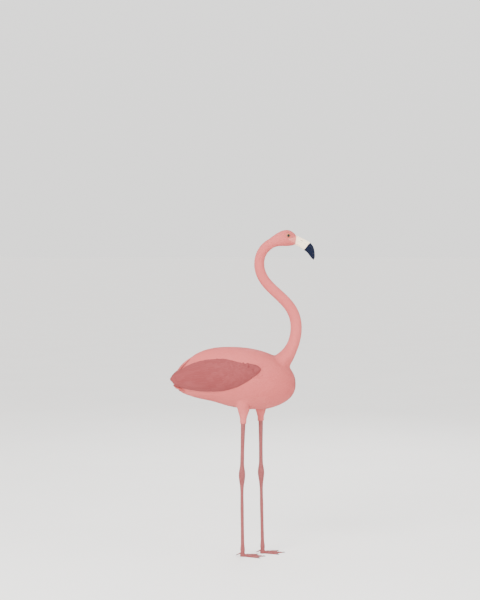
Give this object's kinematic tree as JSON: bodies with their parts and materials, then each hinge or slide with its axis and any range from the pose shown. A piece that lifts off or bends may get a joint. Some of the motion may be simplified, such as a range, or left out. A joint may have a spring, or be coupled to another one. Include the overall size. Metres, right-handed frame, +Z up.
{
  "type": "greater flamingo standing at rest",
  "caption": "Life-size greater flamingo standing still on both legs, with an S-curved neck, folded wings, a bent bill, long bare legs and webbed feet.",
  "frame": {"origin": "on the floor, below the middle of the bird's box", "axes": "+X the way the bird faces, +Y its left side, +Z up"},
  "size_m": [0.5979, 0.2322, 1.3538],
  "materials": {
    "feathered_body": "flesh under a close coat of dusty pink contour feathers",
    "loose_plumage": "soft loose pink feathers, almost no flesh inside",
    "wing_plumage": "overlapping rose wing coverts and flight feathers",
    "leg_skin": "bare rose skin with scutes",
    "bill_horn": "satin pale horn, near black from the bend to the tip",
    "dark_horn": "satin dark horn",
    "eye": "wet gloss, yellow iris round a dark pupil"
  },
  "bodies": {
    "root": {"claw_hind_left": "dark_horn", "claw_hind_right": "dark_horn", "claw_inner_left": "dark_horn", "claw_inner_right": "dark_horn", "claw_middle_left": "dark_horn", "claw_middle_right": "dark_horn", "claw_outer_left": "dark_horn", "claw_outer_right": "dark_horn", "eye_left": "eye", "eye_right": "eye", "foot_left": "leg_skin", "foot_right": "leg_skin", "head": "feathered_body", "lower_bill": "bill_horn", "neck_lower": "feathered_body", "neck_middle": "feathered_body", "neck_upper": "feathered_body", "rump": "loose_plumage", "shin_left": "leg_skin", "shin_right": "leg_skin", "tail": "loose_plumage", "tarsus_left": "leg_skin", "tarsus_right": "leg_skin", "thigh_left": "feathered_body", "thigh_right": "feathered_body", "toe_hind_left": "leg_skin", "toe_hind_right": "leg_skin", "trunk": "feathered_body", "upper_bill": "bill_horn", "wing_left": "wing_plumage", "wing_right": "wing_plumage"}
  },
  "joints": []
}
